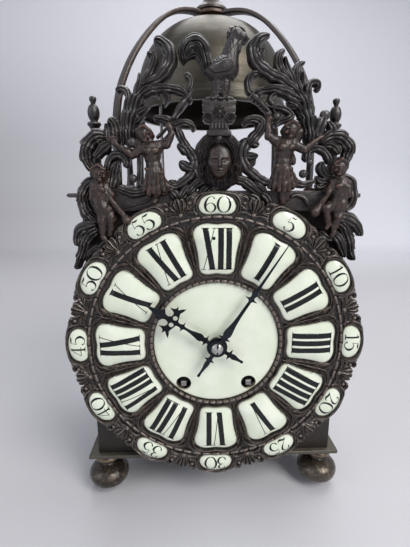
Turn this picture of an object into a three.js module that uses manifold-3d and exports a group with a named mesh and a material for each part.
// A figural lantern-style bracket clock: a hollow case on four bun feet, a cast dial with
// enamel plaques, a pierced cresting of foliage and figures, and a bell under a strap arch.
// Millimetres, +Z up. The front of the clock faces -Y and the floor is z = 0.
import * as THREE from 'three';
import { mergeVertices } from 'three/addons/utils/BufferGeometryUtils.js';
import Module from 'manifold-3d';

const wasm = await Module();
wasm.setup();

// Clearances
const weldDistance = 0.0001;
const seatGap = 0.1; // between pieces that rest on one another
const fitGap = 0.3; // between a piece and the hole or pocket that holds it
const doorGap = 0.8; // around each door
const overrun = 1; // how far a cutter passes the face that it cuts

// Case, made to the dial's size
const footHeight = 31.5;
const plateThickness = 3;
const plateFront = 12; // behind the dial's front face, which is y = 0
const plateDepth = 170;
const plateInset = 7.7; // each side of the plates inside the dial's edge
const plateOverhang = 7.6; // the plates past the case walls at each side
const dialBelowBase = 9; // how far the dial's edge hangs below the base plate's top
const dialAboveCase = 5.5; // and how far it stands above the case walls
const caseSetback = 4; // from the plates' front and rear edges to the case walls
const wallThickness = 2.5;
const frontReturn = 12; // how far the front plate's sides turn back
const postSize = 8;
const knobRadius = 4;
const knobLength = 9;
const knobFromEdge = 8;
const pinRadius = 1.6; // the doors' pivot pins
const pinDepthShare = 0.7; // of the plates' thickness
const latchPinRadius = 1.3; // the pins on the top plate's side edges
const latchPinLength = 7;
const latchPinSetback = 16; // from the top plate's front edge

// Dial, from the middle outwards: disc, turned bead, hour plaques, bead, minute plaques, edge
const discRadius = 47.2;
const discThickness = 2.2;
const discHoleGap = 0.6; // round the hour hand's pipe
const ledgeWidth = 1.8; // the shelf that the centre disc lies on
const beadWidth = 2.4;
const beadRise = 0.9; // how far the two turned beads stand proud
const hourPlaqueFromBead = 2.8;
const hourPlaqueLength = 38.3;
const hourPlaqueRim = 2.6;
const hourPlaqueDome = 2.2;
const innerRibWidth = 2.1; // the frame between neighbouring hour plaques at their inner ends
const outerRibWidth = 10.3; // and at their outer ends
const beadFromPlaque = 2.2;
const minutePlaqueFromBead = 1.1;
const minutePlaqueWidth = 26.5;
const minutePlaqueHeight = 12.6;
const minutePlaqueRim = 2.6;
const minutePlaqueDome = 1.6;
const frameEdgeWidth = 3.7;
const frameThickness = 7;
const frameBackThickness = 3.5;
const windingHoleRadius = 4.4;
const windingFromEdge = 6.1; // each winding hole's middle inside the disc's edge
const windingDegrees = 52.5; // below the level of the dial centre
const dialFootRadius = 4;
const dialFootFromEdge = 13;
const leafBossRadius = 5.5; // cast leaves between the minute plaques
const leafBossRise = 2.2;

// Hands and motion work
const handThickness = 1.2;
const hourHandReach = 7.3; // past the hour plaques' inner ends
const hourHandBack = 6; // in front of the dial's front face
const minuteHandSetback = 1; // from the hour plaques' outer ends
const handSpacing = 2.2;
const hubRadius = 7.6;
const minuteHubRadius = 6;
const nutRadius = 3.2;
const nutLength = 3.5;
const centreArborRadius = 1.6;
const arborBelowNut = 0.5; // the arbor's tip inside the nut
const hourPipeRadius = 4.6;
const hourPipeBore = 3.2;
const minuteHandDegrees = 33; // five and a half minutes past ten
const wheelThickness = 2;
const wheelSpacing = 3.5;
const motionCentreDistance = 20;
const cannonLeaves = 8;
const minuteWheelTeeth = 24;
const minutePinionLeaves = 8;
const hourWheelTeeth = 32;

// Movement
const caseOpeningRadius = 49;
const movementHalfWidth = 54;
const movementRise = 48;
const movementFall = 60;
const movementPlateThickness = 2.5;
const movementGap = 38;
const pillarRadius = 3;
const pillarInset = 7;
const barrelRadius = 19;
const barrelLength = 26;
const windingArborRadius = 3;
const windingSquare = 4;
const arborHoleGap = 0.4;

// Pendulum and hammer
const pendulumHang = 44; // the suspension's height above the dial centre
const pendulumLength = 104;
const pendulumRodRadius = 1.2;
const pendulumBobRadius = 19;
const pendulumBobThickness = 8;
const pendulumBehindPlate = 9;
const cockWidth = 12;
const cockPastPendulum = 9;
const hammerFromMiddle = 40; // the hammer's arbor, left of the dial centre
const hammerRise = 30;
const hammerArborRadius = 1.8;
const hammerStemRadius = 1.3;
const hammerHeadRadius = 4.5;
const hammerHeadLength = 12;
const hammerBehindPlate = 5;
const hammerSwingDegrees = 7;
const strikeGap = 1.2; // between the resting hammer head and the bell
const strikeAboveRim = 9;
const slotMargin = 3.2; // round the hammer's stem in the top plate
const slotSpareDegrees = 1; // the slot's length past the hammer's swing

// Bell and its strap
const bellRadius = 66.5;
const bellHeight = 76;
const bellWall = 2.4;
const bellLipWall = 3.84;
const bellLipShare = 0.1; // of the bell's height
const bellWaistShare = 0.96; // the bell's radius above its lip
const crownThinShare = 0.9; // how fast the wall turns level towards the crown
const bellRimHeight = 67.5; // above the top plate
const bellStudRadius = 2;
const studHeadRadius = 6.4;
const studHeadThickness = 4.5;
const studHeadBelowCrown = 3.2;
const studInCapShare = 0.2;
const capBoreShare = 0.22;
const washerThickness = 3;
const washerRadius = 8;
const strapThickness = 3.6;
const strapWidth = 8;
const strapFootThickness = 4;
const strapFootInside = 18.6; // from a finial's axis in to the strap's leg
const strapFootOutside = 10.5; // and out to the foot's end
const strapHubRadius = 15;
const capRadius = 14.7;
const capHeight = 41;

// Finials and feet
const finialHeight = 63;
const finialRadius = 7.2;
const finialInset = 18.3; // from the plates' side edges
const footInset = 13.3;
const cornerSetback = 12; // finials and feet from the plates' front and rear edges
const footRadius = 16.8;

// Cresting
const crestReach = 100; // the size that the cresting's shares follow
const crestThickness = 3.4;
const leafRise = 1.13; // every other leaf stands this much prouder
const cockThickness = 5.1;
const capitalRise = 4.5; // the capital in front of the foliage
const figureDepth = 9;

// Facets
const fine = 32;
const bellSides = 24;
const round = 12;
const plain = 8;
const coarse = 5;

// Radii, widths, heights and depths that follow from the sizes above
const hourCount = 12;
const hourAngle = (2 * Math.PI) / hourCount;
const hourPlaqueInnerRadius = discRadius + fitGap + beadWidth + hourPlaqueFromBead;
const hourPlaqueOuterRadius = hourPlaqueInnerRadius + hourPlaqueLength;
const outerBeadRadius = hourPlaqueOuterRadius + beadFromPlaque + beadWidth / 2;
const minutePlaqueRadius = outerBeadRadius + beadWidth / 2 + minutePlaqueFromBead + minutePlaqueHeight / 2;
const frameOuterRadius = minutePlaqueRadius + minutePlaqueHeight / 2 + frameEdgeWidth;
const windingAngle = THREE.MathUtils.degToRad(windingDegrees);
const windingSpread = (discRadius - windingFromEdge) * Math.cos(windingAngle);
const windingDrop = (discRadius - windingFromEdge) * Math.sin(windingAngle);
const hourHandLength = hourPlaqueInnerRadius + hourHandReach;
const minuteHandLength = hourPlaqueOuterRadius - minuteHandSetback;
const plateHalfWidth = frameOuterRadius - plateInset;
const caseHalfWidth = plateHalfWidth - plateOverhang;
const dialAboveBase = frameOuterRadius - dialBelowBase;
const caseHeight = dialAboveBase + frameOuterRadius - dialAboveCase;
const hammerSide = -hammerFromMiddle;
const baseTop = footHeight + plateThickness;
const topUnder = baseTop + caseHeight;
const topSurface = topUnder + plateThickness;
const dialHeight = baseTop + dialAboveBase;
const plateRear = plateFront + plateDepth;
const wallFront = plateFront + caseSetback;
const wallRear = plateRear - caseSetback;
const movementFront = wallFront + wallThickness + seatGap;
const movementInner = movementFront + movementPlateThickness;
const movementRear = movementInner + movementGap;
const movementBack = movementRear + movementPlateThickness;
const minuteHandBack = hourHandBack + handSpacing;
const nutBack = minuteHandBack + handThickness + seatGap;
const frontMost = -(nutBack + nutLength);
const rearMost = wallRear + knobLength;
const bellAxisDepth = plateFront + plateDepth / 2;
const rimHeight = topSurface + bellRimHeight;
const bellTop = rimHeight + bellHeight;
const finialSide = plateHalfWidth - finialInset;
const footSide = plateHalfWidth - footInset;
const cornerFront = plateFront + cornerSetback;
const cornerRear = plateRear - cornerSetback;
const finialDiagonal = Math.hypot(finialSide, cornerRear - bellAxisDepth);
const strapLegReach = finialDiagonal - strapFootInside;

// Materials
function finish(colour, roughness, metalness) {
  return new THREE.MeshStandardMaterial({ color: colour, roughness, metalness });
}
const darkBronze = finish('#2f2623', 0.5, 0.7);
const brownBronze = finish('#4a352b', 0.5, 0.7);
const caseSteel = finish('#3a302b', 0.6, 0.5);
const bellMetal = finish('#7d786c', 0.45, 0.8);
const enamel = finish('#eef0dc', 0.15, 0);
const blueSteel = finish('#15161a', 0.35, 0.8);
const brass = finish('#a98a4b', 0.4, 0.9);
const steel = finish('#8d8f92', 0.35, 0.9);
const leather = finish('#4a3524', 0.8, 0);

// Geometry helpers
// Welds a geometry to one closed surface, drops collapsed triangles and faces it outwards.
function clean(geometry) {
  const bare = geometry.clone();
  bare.deleteAttribute('normal');
  bare.deleteAttribute('uv');
  const merged = mergeVertices(bare, weldDistance);
  const place = merged.attributes.position;
  const corners = merged.index.array;
  const a = new THREE.Vector3();
  const b = new THREE.Vector3();
  const c = new THREE.Vector3();
  const kept = [];
  let volume = 0;
  for (let i = 0; i < corners.length; i += 3) {
    const [p, q, r] = [corners[i], corners[i + 1], corners[i + 2]];
    if (p === q || q === r || r === p) continue;
    kept.push(p, q, r);
    a.fromBufferAttribute(place, p);
    b.fromBufferAttribute(place, q);
    c.fromBufferAttribute(place, r);
    volume += a.dot(b.cross(c));
  }
  if (volume < 0) kept.reverse();
  merged.setIndex(kept);
  return merged;
}

function toSolid(geometry) {
  const welded = clean(geometry);
  return new wasm.Manifold(new wasm.Mesh({
    numProp: 3,
    vertProperties: new Float32Array(welded.attributes.position.array),
    triVerts: new Uint32Array(welded.index.array),
  }));
}

function toGeometry(solid) {
  const mesh = solid.getMesh();
  const geometry = new THREE.BufferGeometry();
  geometry.setAttribute('position', new THREE.BufferAttribute(mesh.vertProperties, 3));
  geometry.setIndex(new THREE.BufferAttribute(mesh.triVerts, 1));
  return geometry;
}

function joined(geometries) {
  return toGeometry(geometries.map(toSolid).reduce((whole, next) => whole.add(next)));
}

function cut(geometry, cutters) {
  return toGeometry(cutters.map(toSolid).reduce((whole, next) => whole.subtract(next), toSolid(geometry)));
}

function circle(radius, sides, x = 0, z = 0) {
  return Array.from({ length: sides }, (_, i) => {
    const turn = (i * 2 * Math.PI) / sides;
    return new THREE.Vector2(x + radius * Math.cos(turn), z + radius * Math.sin(turn));
  });
}

function rectangle(left, low, right, high) {
  return [[left, low], [right, low], [right, high], [left, high]].map(([x, z]) => new THREE.Vector2(x, z));
}

function drawing(points, holes = []) {
  const shape = new THREE.Shape(points);
  holes.forEach((hole) => shape.holes.push(new THREE.Path(hole)));
  return shape;
}

// A drawing in X and Z, made solid from the depth `near` backwards.
function upright(points, near, depth, holes = []) {
  const geometry = new THREE.ExtrudeGeometry(drawing(points, holes), { depth, bevelEnabled: false });
  geometry.rotateX(Math.PI / 2);
  geometry.translate(0, near + depth, 0);
  return geometry;
}

// A drawing in X and Y, made solid from the height `bottom` upwards.
function level(points, bottom, height, holes = []) {
  const geometry = new THREE.ExtrudeGeometry(drawing(points, holes), { depth: height, bevelEnabled: false });
  geometry.translate(0, 0, bottom);
  return geometry;
}

// A turned piece from [radius, height] pairs, standing on z = 0.
function turned(profile, sides) {
  const points = profile.map(([radius, height]) => new THREE.Vector2(radius, height));
  const geometry = new THREE.LatheGeometry(points, sides);
  geometry.rotateX(Math.PI / 2);
  return geometry;
}

// A turned piece lying along +Y, its foot at the depth `near`.
function turnedAlongY(profile, sides, x, near, z) {
  const geometry = turned(profile, sides);
  geometry.rotateX(-Math.PI / 2);
  geometry.translate(x, near, z);
  return geometry;
}

// A round-ended tapering limb between two points.
function limb(from, to, fromRadius, toRadius, sides = coarse) {
  const length = from.distanceTo(to);
  const profile = [
    [0, -fromRadius],
    [fromRadius, 0],
    [toRadius, length],
    [0, length + toRadius],
  ];
  const geometry = new THREE.LatheGeometry(profile.map(([r, h]) => new THREE.Vector2(r, h)), sides);
  const along = to.clone().sub(from).normalize();
  geometry.applyQuaternion(new THREE.Quaternion().setFromUnitVectors(new THREE.Vector3(0, 1, 0), along));
  geometry.translate(from.x, from.y, from.z);
  return geometry;
}

function ball(x, y, z, halfWidth, halfDepth, halfHeight, sides = coarse) {
  const geometry = new THREE.SphereGeometry(1, sides, sides - 2);
  geometry.rotateX(Math.PI / 2);
  geometry.scale(halfWidth, halfDepth, halfHeight);
  geometry.translate(x, y, z);
  return geometry;
}

const clock = new THREE.Group();
const depthMiddle = (frontMost + rearMost) / 2;
clock.position.set(0, -depthMiddle, 0);

function place(name, geometry, material, parent = clock) {
  const mesh = new THREE.Mesh(clean(geometry), material);
  mesh.name = name;
  parent.add(mesh);
  return mesh;
}

// Case plates, with the doors' pivot holes and, above, the hammer's slot
const pivotSide = caseHalfWidth - wallThickness / 2;
const pivotRear = wallRear - postSize - pinRadius - doorGap;
const backPivotSide = caseHalfWidth - postSize - doorGap - pinRadius;
const backPivotDepth = wallRear - wallThickness / 2;
const hammerDepth = movementBack + hammerBehindPlate;

function pivotHoles() {
  const radius = pinRadius + fitGap;
  return [
    circle(radius, plain, -pivotSide, pivotRear),
    circle(radius, plain, pivotSide, pivotRear),
    circle(radius, plain, backPivotSide, backPivotDepth),
  ];
}

function plateOutline() {
  return rectangle(-plateHalfWidth, plateFront, plateHalfWidth, plateRear);
}

// The hammer stands nearly upright, its head just inside the bell's wall.
const strikeHeight = rimHeight + strikeAboveRim;
const bellOffset = bellAxisDepth - hammerDepth;
const bellInside = bellRadius * bellWaistShare - bellWall - strikeGap;
const hammerHeadFace = -Math.sqrt(bellInside ** 2 - (bellOffset + hammerHeadRadius) ** 2);
const hammerHeadMiddle = hammerHeadFace + hammerHeadLength / 2;
const slotAngle = THREE.MathUtils.degToRad(hammerSwingDegrees + slotSpareDegrees);
const slotReach = Math.tan(slotAngle) * (topSurface - dialHeight);
const slotHalfDepth = hammerStemRadius + slotMargin;

function hammerStemSide(height) {
  const share = (height - dialHeight - hammerRise) / (strikeHeight - dialHeight - hammerRise);
  return hammerSide + share * (hammerHeadMiddle - hammerSide);
}

place('base_plate', level(plateOutline(), footHeight, plateThickness, pivotHoles()), darkBronze);
const slotSide = hammerStemSide(topUnder);
const hammerSlot = rectangle(
  slotSide - slotHalfDepth,
  hammerDepth - slotHalfDepth,
  slotSide + slotReach + slotHalfDepth,
  hammerDepth + slotHalfDepth,
);

// The top plate has a short pin at each side edge, which a side door's hook can catch.
function topPlate() {
  const height = topUnder + plateThickness / 2;
  const depth = plateFront + latchPinSetback;
  const inner = plateHalfWidth - latchPinLength;
  const outer = plateHalfWidth + latchPinLength - latchPinRadius;
  const pins = [-1, 1].map((side) => limb(
    new THREE.Vector3(side * inner, depth, height),
    new THREE.Vector3(side * outer, depth, height),
    latchPinRadius,
    latchPinRadius,
    plain,
  ));
  return joined([level(plateOutline(), topUnder, plateThickness, [...pivotHoles(), hammerSlot]), ...pins]);
}
place('top_plate', topPlate(), darkBronze);

// Front plate, its sides turned back, with the round opening for the movement
const caseLow = baseTop + seatGap;
const caseHigh = topUnder - seatGap;

function caseFront() {
  const back = wallFront + frontReturn;
  const inner = caseHalfWidth - wallThickness;
  const plan = [
    [-caseHalfWidth, wallFront], [caseHalfWidth, wallFront], [caseHalfWidth, back], [inner, back],
    [inner, wallFront + wallThickness], [-inner, wallFront + wallThickness], [-inner, back],
    [-caseHalfWidth, back],
  ].map(([x, y]) => new THREE.Vector2(x, y));
  const opening = upright(
    circle(caseOpeningRadius, fine, 0, dialHeight),
    wallFront - overrun,
    wallThickness + overrun * 2,
  );
  return cut(level(plan, caseLow, caseHigh - caseLow), [opening]);
}
place('case_front', caseFront(), caseSteel);

// Rear corner posts
[['left', -1], ['right', 1]].forEach(([side, sign]) => {
  const outer = sign * caseHalfWidth;
  const inner = outer - sign * postSize;
  const section = rectangle(Math.min(outer, inner), wallRear - postSize, Math.max(outer, inner), wallRear);
  place(`rear_post_${side}`, level(section, caseLow, caseHigh - caseLow), caseSteel);
});

// Doors, each with a pivot pin in both plates and a turned knob
const doorLow = baseTop + doorGap;
const doorHigh = topUnder - doorGap;
const pinReach = doorGap + plateThickness * pinDepthShare;
const knobShares = [
  [0, -0.1], [0.45, -0.1], [0.45, 0.3], [1, 0.55], [1, 0.8], [0.6, 1], [0, 1],
];

function knob() {
  return turned(knobShares.map(([r, h]) => [r * knobRadius, h * knobLength]), plain);
}

function pivotPin(x, y) {
  const pin = level(circle(pinRadius, plain), doorLow - pinReach, doorHigh - doorLow + pinReach * 2);
  pin.translate(x, y, 0);
  return pin;
}

function sideDoor(sign) {
  const outer = sign * caseHalfWidth;
  const inner = outer - sign * wallThickness;
  const near = wallFront + frontReturn + doorGap;
  const leaf = level(
    rectangle(Math.min(outer, inner), near, Math.max(outer, inner), pivotRear + pinRadius),
    doorLow,
    doorHigh - doorLow,
  );
  const grip = knob();
  grip.rotateY(sign * Math.PI / 2);
  grip.translate(outer, near + knobFromEdge, dialHeight);
  return joined([leaf, pivotPin(sign * pivotSide, pivotRear), grip]);
}
place('left_door', sideDoor(-1), caseSteel);
place('right_door', sideDoor(1), caseSteel);

function backDoor() {
  const free = -caseHalfWidth + postSize + doorGap;
  const leaf = level(
    rectangle(free, wallRear - wallThickness, backPivotSide + pinRadius, wallRear),
    doorLow,
    doorHigh - doorLow,
  );
  const grip = knob();
  grip.rotateX(-Math.PI / 2);
  grip.translate(free + knobFromEdge, wallRear, dialHeight);
  return joined([leaf, pivotPin(backPivotSide, backPivotDepth), grip]);
}
place('back_door', backDoor(), caseSteel);

// Bun feet: button, flattened ball, neck and disc
const footShares = [
  [0, 0], [0.3, 0], [0.74, 0.07], [1, 0.26], [1, 0.42], [0.72, 0.6], [0.38, 0.66], [0.38, 0.8],
  [0.66, 0.86], [0.6, 1], [0, 1],
];
const corners = [
  ['front_left', -1, cornerFront],
  ['front_right', 1, cornerFront],
  ['rear_left', -1, cornerRear],
  ['rear_right', 1, cornerRear],
];
corners.forEach(([corner, sign, depth]) => {
  const length = footHeight - seatGap;
  const foot = turned(footShares.map(([r, h]) => [r * footRadius, h * length]), round);
  place(`foot_${corner}`, foot, darkBronze).position.set(sign * footSide, depth, 0);
});

// Finials: moulded base, column, flared neck, egg and ball
const finialShares = [
  [0, 0], [1, 0], [1, 0.06], [0.62, 0.12], [0.42, 0.55], [0.36, 0.66], [0.62, 0.74], [0.3, 0.77],
  [0.62, 0.83], [0.55, 0.88], [0.22, 0.91], [0.42, 0.955], [0, 1],
];
const finialSeat = topSurface + strapFootThickness + seatGap * 2;
corners.forEach(([corner, sign, depth]) => {
  const finial = turned(finialShares.map(([r, h]) => [r * finialRadius, h * finialHeight]), plain);
  place(`finial_${corner}`, finial, darkBronze).position.set(sign * finialSide, depth, finialSeat);
});

// Bell strap: four bent arms from a round hub to feet held under the finials
const armShares = [
  [0.09, 1], [0.26, 0.985], [0.4, 0.955], [0.54, 0.895], [0.67, 0.81], [0.79, 0.71], [0.88, 0.61],
  [0.95, 0.5], [0.985, 0.38], [1, 0],
];

const strapHubLow = bellTop + washerThickness + seatGap * 2;

function strapArm(turn) {
  const rise = strapHubLow - topSurface - seatGap;
  const middle = armShares.map(([r, h]) => new THREE.Vector2(r * strapLegReach, h * rise));
  const outer = [];
  const inner = [];
  middle.forEach((point, i) => {
    const before = middle[Math.max(i - 1, 0)];
    const after = middle[Math.min(i + 1, middle.length - 1)];
    const side = after.clone().sub(before).normalize().rotateAround(new THREE.Vector2(), Math.PI / 2);
    outer.push(point.clone().addScaledVector(side, strapThickness));
    inner.unshift(point.clone());
  });
  const arm = upright([...outer, ...inner], -strapWidth / 2, strapWidth);
  const half = strapWidth / 2;
  const footEnd = finialDiagonal + strapFootOutside;
  const foot = level(
    rectangle(strapLegReach - strapFootThickness, -half, footEnd, half),
    0,
    strapFootThickness,
  );
  return [arm, foot].map((piece) => {
    piece.rotateZ(turn);
    piece.translate(0, bellAxisDepth, topSurface + seatGap);
    return piece;
  });
}

function bellStrap() {
  const diagonal = Math.atan2(cornerRear - bellAxisDepth, finialSide);
  const turns = [diagonal, Math.PI - diagonal, Math.PI + diagonal, -diagonal];
  const hub = level(circle(strapHubRadius, round), strapHubLow, strapThickness);
  hub.translate(0, bellAxisDepth, 0);
  const bore = level(
    circle(bellStudRadius + fitGap, plain),
    strapHubLow - overrun,
    strapThickness + overrun * 2,
  );
  bore.translate(0, bellAxisDepth, 0);
  return cut(joined([hub, ...turns.flatMap(strapArm)]), [bore]);
}
place('bell_strap', bellStrap(), brownBronze);

// Bell: an even wall under a domed crown, a thick lip at the mouth and a hole for its stud
const bellShares = [
  [1, 0], [1, 0.07], [0.965, 0.14], [0.96, 0.28], [0.92, 0.47], [0.81, 0.67], [0.61, 0.85],
  [0.34, 0.955], [0.12, 0.995],
];

function bell() {
  const outside = bellShares.map(([r, h]) => [r * bellRadius, h * bellHeight]);
  const inside = bellShares.map(([r, h]) => {
    const wall = h < bellLipShare ? bellLipWall : bellWall;
    const drop = h > 0 ? wall * Math.sqrt(1 - r * r * crownThinShare) : 0;
    return [r * bellRadius - wall * r, h * bellHeight - drop];
  });
  const bore = bellStudRadius + fitGap;
  const crown = [[bore, bellHeight], [bore, bellHeight - bellWall]];
  const profile = [...outside, ...crown, ...inside.reverse()];
  return turned([...profile, profile[0]], bellSides);
}
place('bell', bell(), bellMetal).position.set(0, bellAxisDepth, rimHeight);

function ring(outer, bore, bottom, height, sides) {
  return level(circle(outer, sides), bottom, height, [circle(bore, plain)]);
}
const washer = ring(washerRadius, bellStudRadius + fitGap, bellTop + seatGap, washerThickness, plain);
place('bell_washer', washer, leather).position.y = bellAxisDepth;

// Stud, with its head under the bell's crown
const neckLow = bellTop - studHeadBelowCrown;
const studHeadLow = neckLow - studHeadThickness;
function bellStud() {
  const studTop = strapHubLow + strapThickness + capHeight * studInCapShare;
  return turned([
    [0, studHeadLow],
    [studHeadRadius, studHeadLow],
    [studHeadRadius, neckLow],
    [bellStudRadius, neckLow],
    [bellStudRadius, studTop],
    [0, studTop],
  ], plain);
}
place('bell_stud', bellStud(), steel).position.y = bellAxisDepth;

// Cap: a low ogee dome with a finial, screwed on the stud
const capShares = [
  [1, 0], [1, 0.05], [0.86, 0.1], [0.6, 0.18], [0.44, 0.26], [0.44, 0.34], [0.52, 0.38], [0.3, 0.42],
  [0.34, 0.5], [0.52, 0.62], [0.46, 0.74], [0.2, 0.82], [0.34, 0.9], [0, 1],
];
function cap() {
  const bore = bellStudRadius + fitGap;
  const depth = capHeight * capBoreShare;
  const outside = capShares.map(([r, h]) => [r * capRadius, h * capHeight]);
  return turned([[0, depth], [bore, depth], [bore, 0], ...outside], round);
}
const capSeat = strapHubLow + strapThickness + seatGap;
place('bell_cap', cap(), brownBronze).position.set(0, bellAxisDepth, capSeat);

// Dial outlines, drawn about the dial's centre with twelve o'clock along +Z
// Half widths of the hour plaque, as shares of those at its inner and its outer shoulders
const innerShoulderShare = 0.14;
const outerShoulderShare = 0.88;
const hourInnerShares = [[0.559, 0], [0.869, 0.045], [1, innerShoulderShare], [0.937, 0.4]];
const hourOuterShares = [[0.85, 0.67], [1, outerShoulderShare], [0.86, 0.975], [0.45, 1]];
const minuteQuarterShares = [[1, 0.3], [0.87, 0.78], [0.6, 1]];

function shoulderHalf(share, rib) {
  return (hourPlaqueInnerRadius + share * hourPlaqueLength) * Math.tan(hourAngle / 2) - rib / 2;
}

// The hour plaque's bracket outline, grown by a margin for its pocket.
function hourOutline(margin) {
  const row = (shares, half) => shares.map(([x, z]) => new THREE.Vector2(
    x * half + margin,
    hourPlaqueInnerRadius + z * hourPlaqueLength + (z * 2 - 1) * margin,
  ));
  const right = [
    ...row(hourInnerShares, shoulderHalf(innerShoulderShare, innerRibWidth)),
    ...row(hourOuterShares, shoulderHalf(outerShoulderShare, outerRibWidth)),
  ];
  const left = right.map((point) => new THREE.Vector2(-point.x, point.y)).reverse();
  return [...right, ...left];
}

function minuteOutline(margin) {
  const quarter = minuteQuarterShares.map(([x, z]) => [
    x * (minutePlaqueWidth / 2 + margin),
    z * (minutePlaqueHeight / 2 + margin),
  ]);
  const upper = [...quarter, ...quarter.map(([x, z]) => [-x, z]).reverse()];
  const whole = [...upper, ...upper.map(([x, z]) => [-x, -z])];
  return whole.map(([x, z]) => new THREE.Vector2(x, z + minutePlaqueRadius));
}

function turnedOutline(points, step) {
  return points.map((point) => point.clone().rotateAround(new THREE.Vector2(), -step * hourAngle));
}

const steps = Array.from({ length: hourCount }, (_, i) => i);
const upwards = Math.PI / 2;
const betweenHoursShare = 0.5;

// Frame edge: round the minute plaques, drawn in between them where the cast leaves are
// Its shares are of the angle from hour to hour, and of the radius.
const edgeTurnShares = [-0.283, -0.117, 0.117, 0.283, 0.383, 0.5, 0.617];
const edgeRadiusShares = [0.985, 1, 1, 0.985, 0.93, 0.965, 0.93];

function frameOutline() {
  return steps.flatMap((step) => edgeTurnShares.map((share, i) => {
    const angle = upwards - (step + share) * hourAngle;
    const radius = frameOuterRadius * edgeRadiusShares[i];
    return new THREE.Vector2(radius * Math.cos(angle), radius * Math.sin(angle));
  })).reverse();
}

function dialFrame() {
  const frontThickness = frameThickness - frameBackThickness;
  const pockets = steps.flatMap((step) => [
    turnedOutline(hourOutline(fitGap), step),
    turnedOutline(minuteOutline(fitGap), step),
  ]);
  const centre = circle(discRadius + fitGap, fine);
  const front = upright(frameOutline(), 0, frontThickness, [centre, ...pockets]);
  const ledge = circle(discRadius - ledgeWidth, fine);
  const back = upright(frameOutline(), frontThickness, frameBackThickness, [ledge]);
  const bead = (outer, bore) => upright(circle(outer, fine), -beadRise, beadRise + overrun, [bore]);
  const innerBead = bead(discRadius + fitGap + beadWidth, centre);
  const outerBead = bead(outerBeadRadius + beadWidth / 2, circle(outerBeadRadius - beadWidth / 2, fine));
  const leaves = steps.map((step) => {
    const angle = upwards - (step + betweenHoursShare) * hourAngle;
    const reach = minutePlaqueRadius - leafBossRise;
    const [x, z] = [reach * Math.cos(angle), reach * Math.sin(angle)];
    return ball(x, 0, z, leafBossRadius, leafBossRise, leafBossRadius);
  });
  const feet = [1, 3, 5, 7].map((eighth) => {
    const angle = (eighth * Math.PI) / 4;
    const reach = frameOuterRadius - dialFootFromEdge;
    const [x, z] = [reach * Math.cos(angle), reach * Math.sin(angle)];
    const length = wallFront - seatGap - frameThickness + overrun;
    return upright(circle(dialFootRadius, plain, x, z), frameThickness - overrun, length);
  });
  return joined([back, front, innerBead, outerBead, ...leaves, ...feet]);
}

const dial = new THREE.Group();
dial.position.z = dialHeight;
clock.add(dial);
place('dial_frame', dialFrame(), darkBronze, dial);

const pocketFloor = frameThickness - frameBackThickness - seatGap;
const windingHoles = [-windingSpread, windingSpread].map((x) =>
  circle(windingHoleRadius, plain, x, -windingDrop));
const discHoles = [circle(hourPipeRadius + discHoleGap, plain), ...windingHoles];
const disc = upright(circle(discRadius, fine), pocketFloor - discThickness, discThickness, discHoles);
place('centre_disc', disc, enamel, dial);

// A plaque with a straight rim and a low domed face, from its outline and middle.
function plaque(points, middle, rim, dome, shoulders = []) {
  const count = points.length;
  const rings = [
    [1, pocketFloor],
    [1, pocketFloor - rim],
    ...shoulders.map(([share, rise]) => [share, pocketFloor - rim - dome * rise]),
  ];
  const corners = rings.flatMap(([share, depth]) => points.flatMap((point) => [
    point.x * share,
    depth,
    middle + (point.y - middle) * share,
  ]));
  corners.push(0, pocketFloor, middle, 0, pocketFloor - rim - dome, middle);
  const back = rings.length * count;
  const peak = back + 1;
  const faces = points.flatMap((_, i) => {
    const next = (i + 1) % count;
    const walls = rings.slice(1).flatMap((_ring, row) => {
      const [low, high] = [row * count, (row + 1) * count];
      return [low + i, low + next, high + next, low + i, high + next, high + i];
    });
    const top = (rings.length - 1) * count;
    return [...walls, back, next, i, peak, top + i, top + next];
  });
  const geometry = new THREE.BufferGeometry();
  geometry.setAttribute('position', new THREE.Float32BufferAttribute(corners, 3));
  geometry.setIndex(faces);
  return geometry;
}

const hourMiddle = hourPlaqueInnerRadius + hourPlaqueLength / 2;
const hourShoulderShares = [[0.72, 0.75]]; // of the outline and of the dome's rise
const minutesPerHour = 60;
steps.forEach((step) => {
  const hour = plaque(hourOutline(0), hourMiddle, hourPlaqueRim, hourPlaqueDome, hourShoulderShares);
  place(`hour_plaque_${step || hourCount}`, hour, enamel, dial).rotation.y = step * hourAngle;
  const minute = plaque(minuteOutline(0), minutePlaqueRadius, minutePlaqueRim, minutePlaqueDome);
  const minutes = (step * minutesPerHour) / hourCount || minutesPerHour;
  place(`minute_plaque_${minutes}`, minute, enamel, dial).rotation.y = step * hourAngle;
});

// Hands, drawn pointing to twelve, from half widths along their length
const minuteHalfShares = [
  [-0.29, 0.004], [-0.22, 0.018], [-0.16, 0.012], [-0.14, 0.045], [-0.12, 0.012], [0.1, 0.014],
  [0.14, 0.045], [0.18, 0.05], [0.24, 0.032], [0.45, 0.016], [0.465, 0.05], [0.48, 0.016],
  [0.54, 0.028], [0.6, 0.014], [1, 0.004],
];
const hourHalfHandShares = [
  [-0.4, 0.012], [-0.36, 0.014], [-0.3, 0.032], [-0.235, 0.02], [-0.19, 0.062], [-0.17, 0.022],
  [0.13, 0.022], [0.165, 0.062], [0.2, 0.024], [0.26, 0.044], [0.42, 0.02], [0.46, 0.026],
  [0.475, 0.055], [0.5, 0.024], [0.76, 0.02], [0.8, 0.055], [0.83, 0.03], [0.9, 0.022], [1, 0.004],
];
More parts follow.
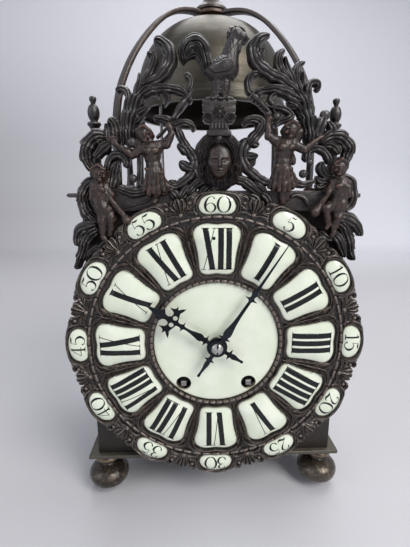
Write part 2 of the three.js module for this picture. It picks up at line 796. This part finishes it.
// The hour hand's pierced head: one half's leaf outline and its two eyes [side, along, radius]
const headShares = [
  [0, 0.54], [0.035, 0.56], [0.08, 0.575], [0.115, 0.605], [0.14, 0.59], [0.18, 0.56], [0.225, 0.555],
  [0.19, 0.59], [0.165, 0.63], [0.195, 0.66], [0.155, 0.67], [0.14, 0.7], [0.15, 0.74], [0.125, 0.77],
  [0.075, 0.785], [0, 0.8],
];
const eyeShares = [[0.051, 0.613, 0.027], [0.077, 0.71, 0.046]];

function handBlade(shares, length, near) {
  const right = shares.map(([along, half]) => new THREE.Vector2(half * length, along * length));
  const left = right.map((point) => new THREE.Vector2(-point.x, point.y)).reverse();
  return upright([...right, ...left], near, handThickness);
}

function throughHand(outline, near) {
  return upright(outline, near - overrun, handThickness + overrun * 2);
}

function minuteHand() {
  const near = -minuteHandBack - handThickness;
  const boss = upright(circle(minuteHubRadius, round), near, handThickness);
  const blade = handBlade(minuteHalfShares, minuteHandLength, near);
  return cut(joined([boss, blade]), [throughHand(circle(centreArborRadius + fitGap, plain), near)]);
}

function hourHand() {
  const near = -hourHandBack - handThickness;
  const boss = upright(circle(hubRadius, round), near, handThickness);
  const blade = handBlade(hourHalfHandShares, hourHandLength, near);
  const half = headShares.map(([side, along]) => [side * hourHandLength, along * hourHandLength]);
  const leaf = [...half, ...half.slice(1, -1).reverse().map(([side, along]) => [-side, along])];
  const head = upright(leaf.map(([x, z]) => new THREE.Vector2(x, z)), near, handThickness);
  const eyes = [-1, 1].flatMap((sign) => eyeShares.map((shares) => {
    const [side, along, radius] = shares.map((share) => share * hourHandLength);
    return throughHand(circle(radius, plain, sign * side, along), near);
  }));
  const bore = throughHand(circle(hourPipeRadius + fitGap, plain), near);
  return cut(joined([boss, blade, head]), [bore, ...eyes]);
}

// Toothed wheels: four corners to a tooth, thinned so that meshing teeth run free
const toothShares = [[-0.29, 0], [-0.15, 1], [0.15, 1], [0.29, 0]];
const addendumShare = 0.85;
const dedendumShare = 1.2;

function gearOutline(teeth, pitchRadius, firstTooth, x = 0, z = 0) {
  const module = (pitchRadius * 2) / teeth;
  const root = pitchRadius - module * dedendumShare;
  const tip = pitchRadius + module * addendumShare;
  return Array.from({ length: teeth }, (_, tooth) => toothShares.map(([turn, height]) => {
    const angle = firstTooth + ((tooth + turn) * 2 * Math.PI) / teeth;
    const radius = root + height * (tip - root);
    return new THREE.Vector2(x + radius * Math.cos(angle), z + radius * Math.sin(angle));
  })).flat();
}

const minutePair = cannonLeaves + minuteWheelTeeth;
const hourPair = minutePinionLeaves + hourWheelTeeth;
const cannonPitch = (motionCentreDistance * cannonLeaves) / minutePair;
const minuteWheelPitch = motionCentreDistance - cannonPitch;
const minutePinionPitch = (motionCentreDistance * minutePinionLeaves) / hourPair;
const hourWheelPitch = motionCentreDistance - minutePinionPitch;
const rearWheelNear = movementFront - wheelSpacing;
const frontWheelNear = rearWheelNear - wheelSpacing;

// The centre arbor carries the cannon pinion and the minute hand.
function centreArbor() {
  const near = arborBelowNut - nutBack - nutLength;
  const rod = upright(circle(centreArborRadius, plain), near, movementRear + movementPlateThickness - near);
  const cannon = upright(gearOutline(cannonLeaves, cannonPitch, upwards), rearWheelNear, wheelThickness);
  return joined([rod, cannon]);
}

function minuteWheel() {
  const down = -Math.PI / 2;
  const gapAngle = down + Math.PI / minuteWheelTeeth;
  const wheel = upright(
    gearOutline(minuteWheelTeeth, minuteWheelPitch, gapAngle, 0, motionCentreDistance),
    rearWheelNear,
    wheelThickness,
  );
  const pinion = upright(
    gearOutline(minutePinionLeaves, minutePinionPitch, down, 0, motionCentreDistance),
    frontWheelNear,
    wheelSpacing + overrun,
  );
  const arbor = upright(
    circle(centreArborRadius, plain, 0, motionCentreDistance),
    frontWheelNear,
    movementInner - frontWheelNear,
  );
  return joined([wheel, pinion, arbor]);
}

function hourWheel() {
  const gapAngle = upwards + Math.PI / hourWheelTeeth;
  const outline = gearOutline(hourWheelTeeth, hourWheelPitch, gapAngle);
  const wheel = upright(outline, frontWheelNear, wheelThickness);
  const pipeNear = -hourHandBack - handThickness;
  const pipe = upright(circle(hourPipeRadius, plain), pipeNear, frontWheelNear + wheelThickness - pipeNear);
  const bore = upright(
    circle(hourPipeBore, plain),
    pipeNear - overrun,
    frontWheelNear + wheelThickness - pipeNear + overrun * 2,
  );
  return cut(joined([wheel, pipe]), [bore]);
}

const shownHourDegrees = 300; // ten o'clock
const minuteTurn = THREE.MathUtils.degToRad(minuteHandDegrees);
const hourTurn = THREE.MathUtils.degToRad(shownHourDegrees) + minuteTurn / hourCount;
place('minute_hand', minuteHand(), blueSteel, dial).rotation.y = minuteTurn;
place('hour_hand', hourHand(), blueSteel, dial).rotation.y = hourTurn;
const nutBore = circle(centreArborRadius + fitGap, plain);
const nut = upright(circle(nutRadius, coarse), -nutBack - nutLength, nutLength, [nutBore]);
place('hand_nut', nut, steel, dial).rotation.y = minuteTurn;
place('centre_arbor', centreArbor(), brass, dial);
place('minute_wheel', minuteWheel(), brass, dial);
place('hour_wheel', hourWheel(), brass, dial);

// Movement plates and pillars
const arborHoles = [
  circle(centreArborRadius + arborHoleGap, plain),
  circle(windingArborRadius + arborHoleGap, plain, -windingSpread, -windingDrop),
  circle(windingArborRadius + arborHoleGap, plain, windingSpread, -windingDrop),
];
const hammerHole = circle(hammerArborRadius + arborHoleGap, plain, hammerSide, hammerRise);
const movementOutline = rectangle(-movementHalfWidth, -movementFall, movementHalfWidth, movementRise);

function movementFrontPlate() {
  const stud = circle(centreArborRadius + arborHoleGap, plain, 0, motionCentreDistance);
  return upright(movementOutline, movementFront, movementPlateThickness, [...arborHoles, stud]);
}

function movementBackPlate() {
  const plate = upright(movementOutline, movementRear, movementPlateThickness, [...arborHoles, hammerHole]);
  const pillars = [-1, 1].flatMap((side) =>
    [pillarInset - movementFall, movementRise - pillarInset].map((z) => upright(
      circle(pillarRadius, plain, side * (movementHalfWidth - pillarInset), z),
      movementInner + seatGap,
      movementGap + overrun - seatGap,
    )));
  const cock = upright(
    rectangle(-cockWidth / 2, pendulumHang, cockWidth / 2, movementRise),
    movementRear,
    movementPlateThickness + pendulumBehindPlate + cockPastPendulum,
  );
  return joined([plate, ...pillars, cock]);
}
place('movement_front_plate', movementFrontPlate(), brass, dial);
place('movement_back_plate', movementBackPlate(), brass, dial);

// Spring barrels on their winding arbors, squared at the front for the key
function springBarrel(x) {
  const middle = (movementInner + movementRear) / 2;
  const drum = upright(circle(barrelRadius, round, x, -windingDrop), middle - barrelLength / 2, barrelLength);
  const squareNear = pocketFloor - discThickness - seatGap;
  const arborNear = movementFront - wheelSpacing;
  const arbor = upright(
    circle(windingArborRadius, plain, x, -windingDrop),
    arborNear,
    movementBack - arborNear,
  );
  const half = windingSquare / 2;
  const square = upright(
    rectangle(x - half, -windingDrop - half, x + half, half - windingDrop),
    squareNear,
    arborNear + overrun - squareNear,
  );
  return joined([drum, arbor, square]);
}
place('strike_barrel', springBarrel(-windingSpread), brass, dial);
place('going_barrel', springBarrel(windingSpread), brass, dial);

// Pendulum: a rod hung under the suspension cock, and a lens-shaped bob
const pendulumDepth = movementBack + pendulumBehindPlate;
const lensShares = [[0, -1], [0.6, -0.75], [1, -0.25], [1, 0.25], [0.6, 0.75], [0, 1]];
function pendulum() {
  const bobHeight = pendulumHang - pendulumLength;
  const top = pendulumHang - fitGap;
  const rod = level(circle(pendulumRodRadius, coarse), bobHeight, top - bobHeight);
  rod.translate(0, pendulumDepth, 0);
  const lens = lensShares.map(([r, h]) => [r * pendulumBobRadius, (h * pendulumBobThickness) / 2]);
  return joined([rod, turnedAlongY(lens, round, 0, pendulumDepth, bobHeight)]);
}
place('pendulum', pendulum(), brass, dial);

// Hammer: an arbor through the back plate, a stem up through the top plate, a round head
function hammer() {
  const arbor = upright(
    circle(hammerArborRadius, plain, hammerSide, hammerRise),
    movementInner + fitGap,
    hammerDepth + hammerArborRadius - movementInner - fitGap,
  );
  const headHeight = strikeHeight - dialHeight;
  const foot = new THREE.Vector3(hammerSide, hammerDepth, hammerRise);
  const crown = new THREE.Vector3(hammerHeadMiddle, hammerDepth, headHeight);
  const stem = limb(foot, crown, hammerStemRadius, hammerStemRadius);
  const head = level(circle(hammerHeadRadius, plain), 0, hammerHeadLength);
  head.rotateY(-Math.PI / 2);
  head.translate(hammerHeadFace + hammerHeadLength, hammerDepth, headHeight);
  return joined([arbor, stem, head]);
}
place('hammer', hammer(), steel, dial);

// Cresting: strokes of foliage, each a list of [x, height, half width] shares of crestReach,
// with heights above the top plate. The right half is drawn and mirrored.
const foliageShares = [
  // main stem and its crowning leaves
  [[0.62, 0.3, 0.05], [0.62, 0.46, 0.05], [0.6, 0.6, 0.045], [0.59, 0.7, 0.035]],
  [[0.58, 0.64, 0.03], [0.5, 0.73, 0.035], [0.4, 0.78, 0.04], [0.31, 0.84, 0.045], [0.26, 0.93, 0.04],
    [0.29, 1.0, 0.028], [0.36, 1.04, 0.008]],
  [[0.58, 0.68, 0.025], [0.51, 0.76, 0.03], [0.45, 0.83, 0.03], [0.42, 0.9, 0.026], [0.43, 0.97, 0.008]],
  [[0.59, 0.66, 0.03], [0.56, 0.76, 0.028], [0.54, 0.83, 0.024], [0.58, 0.89, 0.008]],
  [[0.63, 0.5, 0.03], [0.62, 0.66, 0.022], [0.63, 0.74, 0.02], [0.67, 0.765, 0.02], [0.695, 0.73, 0.018],
    [0.68, 0.7, 0.012]],
  // outer drapery leaf and its upright curl
  [[0.66, 0.38, 0.035], [0.76, 0.4, 0.04], [0.85, 0.385, 0.042], [0.915, 0.33, 0.032], [0.915, 0.26, 0.024],
    [0.87, 0.19, 0.022], [0.86, 0.12, 0.026]],
  [[0.69, 0.38, 0.04], [0.69, 0.47, 0.03], [0.705, 0.53, 0.026], [0.75, 0.55, 0.02], [0.775, 0.51, 0.012]],
  // inner arch below the drapery
  [[0.62, 0.06, 0.03], [0.62, 0.2, 0.028], [0.63, 0.29, 0.022], [0.68, 0.33, 0.018], [0.74, 0.3, 0.016],
    [0.77, 0.22, 0.016], [0.75, 0.13, 0.022], [0.73, 0.05, 0.03]],
  [[0.63, 0.03, 0.03], [0.68, 0.08, 0.035], [0.72, 0.16, 0.032], [0.7, 0.25, 0.012]],
  // upper branch towards the middle, with the limb below it
  [[0.58, 0.64, 0.03], [0.5, 0.705, 0.028], [0.38, 0.72, 0.028], [0.28, 0.71, 0.022], [0.215, 0.735, 0.022],
    [0.205, 0.79, 0.018], [0.25, 0.83, 0.01]],
  [[0.24, 0.7, 0.026], [0.26, 0.62, 0.022], [0.32, 0.56, 0.02], [0.37, 0.5, 0.02], [0.43, 0.43, 0.018]],
  [[0.29, 0.6, 0.014], [0.36, 0.66, 0.014], [0.45, 0.64, 0.017], [0.49, 0.56, 0.017], [0.38, 0.49, 0.016]],
  // curled branch beside the mask
  [[0.15, 0.5, 0.014], [0.18, 0.53, 0.018], [0.26, 0.52, 0.02], [0.295, 0.45, 0.022], [0.25, 0.36, 0.024],
    [0.19, 0.3, 0.022], [0.13, 0.25, 0.03]],
  [[0.22, 0.34, 0.03], [0.28, 0.37, 0.008]],
  [[0.2, 0.28, 0.03], [0.28, 0.285, 0.008]],
  [[0.07, 0.44, 0.02], [0.13, 0.36, 0.022], [0.18, 0.26, 0.024], [0.26, 0.17, 0.022], [0.34, 0.1, 0.026],
    [0.42, 0.06, 0.03]],
  [[0.3, 0.12, 0.022], [0.25, 0.16, 0.02], [0.235, 0.23, 0.018], [0.24, 0.29, 0.008]],
  [[0.08, 0.14, 0.03], [0.17, 0.12, 0.03], [0.26, 0.07, 0.03], [0.34, 0.02, 0.03]],
  // base leaves
  [[0.4, 0.08, 0.03], [0.52, 0.06, 0.024], [0.62, 0.07, 0.022], [0.76, 0.09, 0.03]],
  // lower corner: back scroll and hanging leaves
  [[0.86, 0.15, 0.03], [0.93, 0.1, 0.036], [0.96, 0.0, 0.036], [0.95, -0.09, 0.03], [0.9, -0.14, 0.03]],
  [[0.82, -0.13, 0.05], [0.9, -0.18, 0.055], [0.97, -0.18, 0.04], [0.995, -0.24, 0.028],
    [0.965, -0.32, 0.034], [0.965, -0.41, 0.032], [1, -0.465, 0.026]],
  [[0.8, -0.1, 0.045], [0.83, -0.22, 0.05], [0.88, -0.3, 0.035], [0.88, -0.38, 0.012]],
];

// Widened strokes are cut flat at both ends.
function stroke(shares, sign, near, depth) {
  const curve = new THREE.CatmullRomCurve3(shares.map((share) => new THREE.Vector3(...share)));
  const points = curve.getPoints(shares.length - 1);
  const left = [];
  const right = [];
  points.forEach((point, i) => {
    const before = points[Math.max(i - 1, 0)];
    const after = points[Math.min(i + 1, points.length - 1)];
    const along = new THREE.Vector2(after.x - before.x, after.y - before.y).normalize();
    const middle = new THREE.Vector2(point.x, point.y);
    const side = new THREE.Vector2(-along.y, along.x).multiplyScalar(point.z);
    left.push(middle.clone().add(side));
    right.unshift(middle.clone().sub(side));
  });
  const edge = [...left, ...right].map((point) => new THREE.Vector2(
    sign * point.x * crestReach,
    point.y * crestReach,
  ));
  return upright(edge, near, depth);
}

const crestBack = plateFront - fitGap;
const crestNear = crestBack - crestThickness;
const apronShares = [
  [-0.93, 0.015], [-0.93, -0.1], [-0.6, -0.09], [0, -0.06], [0.6, -0.09], [0.93, -0.1], [0.93, 0.015],
];

function at(x, depth, height) {
  return new THREE.Vector3(x * crestReach, crestNear + depth * figureDepth, height * crestReach);
}

// A limb between two share points, with its half width's shares at each.
function bodyLimb(sign, [from, to, fromHalf, toHalf]) {
  const [a, b] = [from, to].map(([x, depth, height]) => at(sign * x, depth, height));
  return limb(a, b, fromHalf * crestReach, toHalf * crestReach);
}

function bodyBall(sign, [[x, depth, height], half, tall]) {
  const middle = at(sign * x, depth, height);
  return ball(middle.x, middle.y, middle.z, half * crestReach, half * crestReach, tall * crestReach);
}

// The standing figure: arms raised to the branch and the scroll, a leaf skirt, feet on the apron.
const standingHeadShares = [[0.5, -0.15, 0.43], 0.05, 0.055];
const standingLimbShares = [
  [[0.47, 0, 0.36], [0.45, 0, 0.23], 0.048, 0.042],
  [[0.44, 0, 0.36], [0.36, 0.1, 0.35], 0.024, 0.018],
  [[0.36, 0.1, 0.35], [0.35, 0.2, 0.48], 0.02, 0.014],
  [[0.51, 0, 0.36], [0.6, 0, 0.31], 0.024, 0.018],
  [[0.6, 0, 0.31], [0.7, 0.1, 0.37], 0.018, 0.014],
  [[0.45, 0, 0.24], [0.46, 0, 0.08], 0.05, 0.06],
  [[0.48, -0.15, 0.1], [0.47, -0.1, -0.04], 0.035, 0.02],
];

// The seated figure: an arm along a long trumpet, legs hanging over the corner leaves.
const seatedHeadShares = [[0.84, -0.4, 0.2], 0.05, 0.055];
const seatedLimbShares = [
  [[0.86, -0.3, 0.11], [0.87, -0.3, -0.03], 0.045, 0.05],
  [[0.81, -0.5, 0.17], [0.7, -0.6, 0], 0.012, 0.024],
  [[0.84, -0.35, 0.11], [0.76, -0.5, 0.07], 0.024, 0.018],
  [[0.9, -0.3, 0.11], [0.93, -0.3, 0], 0.024, 0.018],
  [[0.85, -0.3, -0.04], [0.76, -0.5, -0.07], 0.036, 0.026],
  [[0.76, -0.5, -0.07], [0.79, -0.4, -0.19], 0.026, 0.016],
  [[0.88, -0.3, -0.04], [0.86, -0.4, -0.13], 0.036, 0.026],
  [[0.86, -0.4, -0.13], [0.87, -0.3, -0.24], 0.026, 0.016],
];

// The mask with its hair, and the capital above it
const capitalShares = [
  [-0.06, 0.38], [0.06, 0.38], [0.07, 0.46], [0.12, 0.48], [0.12, 0.54], [0.1, 0.57], [0.12, 0.64],
  [-0.12, 0.64], [-0.1, 0.57], [-0.12, 0.54], [-0.12, 0.48], [-0.07, 0.46],
];

const headShare = [[0, -0.3, 0.25], 0.078, 0.125];
const crownLimbShares = [
  [[0, -0.3, 0.36], [0, -0.2, 0.37], 0.07, 0.06],
  [[0, -0.3, 0.14], [0, -0.2, 0.1], 0.06, 0.045],
];
const hairLimbShares = [
  [[0.05, 0, 0.36], [0.12, 0, 0.25], 0.05, 0.045],
  [[0.12, 0, 0.25], [0.08, 0, 0.12], 0.045, 0.03],
];

function crestPlate(shares, near) {
  const outline = shares.map(([x, z]) => new THREE.Vector2(x * crestReach, z * crestReach));
  return upright(outline, near, crestNear + crestThickness - near);
}

function maskAndCapital() {
  return [
    crestPlate(capitalShares, crestNear - capitalRise),
    bodyBall(1, headShare),
    ...crownLimbShares.map((shares) => bodyLimb(1, shares)),
    ...[-1, 1].flatMap((sign) => hairLimbShares.map((shares) => bodyLimb(sign, shares))),
  ];
}

// The cock on the capital: legs, body, arched tail, neck and head
const cockStrokeShares = [
  [[0.0, 0.62, 0.035], [0.02, 0.7, 0.04], [0.03, 0.78, 0.05]],
  [[-0.02, 0.84, 0.05], [-0.09, 0.92, 0.045], [-0.13, 1.0, 0.05], [-0.18, 1.02, 0.045], [-0.235, 0.98, 0.04],
    [-0.23, 0.92, 0.02]],
  [[-0.02, 0.8, 0.045], [0.06, 0.8, 0.065], [0.12, 0.88, 0.05], [0.13, 0.98, 0.04], [0.15, 1.04, 0.035]],
  [[0.13, 1.03, 0.036], [0.18, 1.03, 0.026], [0.2, 1.01, 0.008]],
  [[0.12, 1.02, 0.02], [0.13, 1.08, 0.02], [0.17, 1.075, 0.008]],
];
const breastShares = [[0.08, 0.1, 0.83], 0.06, 0.075];

function cresting() {
  const sides = [1, -1].flatMap((sign) => [
    ...foliageShares.map((shares, i) => {
      const rise = i % 2 ? leafRise : 0;
      return stroke(shares, sign, crestNear - rise, crestThickness + rise);
    }),
    ...[standingHeadShares, seatedHeadShares].map((shares) => bodyBall(sign, shares)),
    ...[...standingLimbShares, ...seatedLimbShares].map((shares) => bodyLimb(sign, shares)),
  ]);
  const cock = cockStrokeShares.map((shares) =>
    stroke(shares, 1, crestNear + crestThickness - cockThickness, cockThickness));
  return joined([
    crestPlate(apronShares, crestNear),
    ...sides,
    ...cock,
    bodyBall(1, breastShares),
    ...maskAndCapital(),
  ]);
}
place('cresting', cresting(), darkBronze).position.z = topSurface - plateThickness / 2;

export default clock;
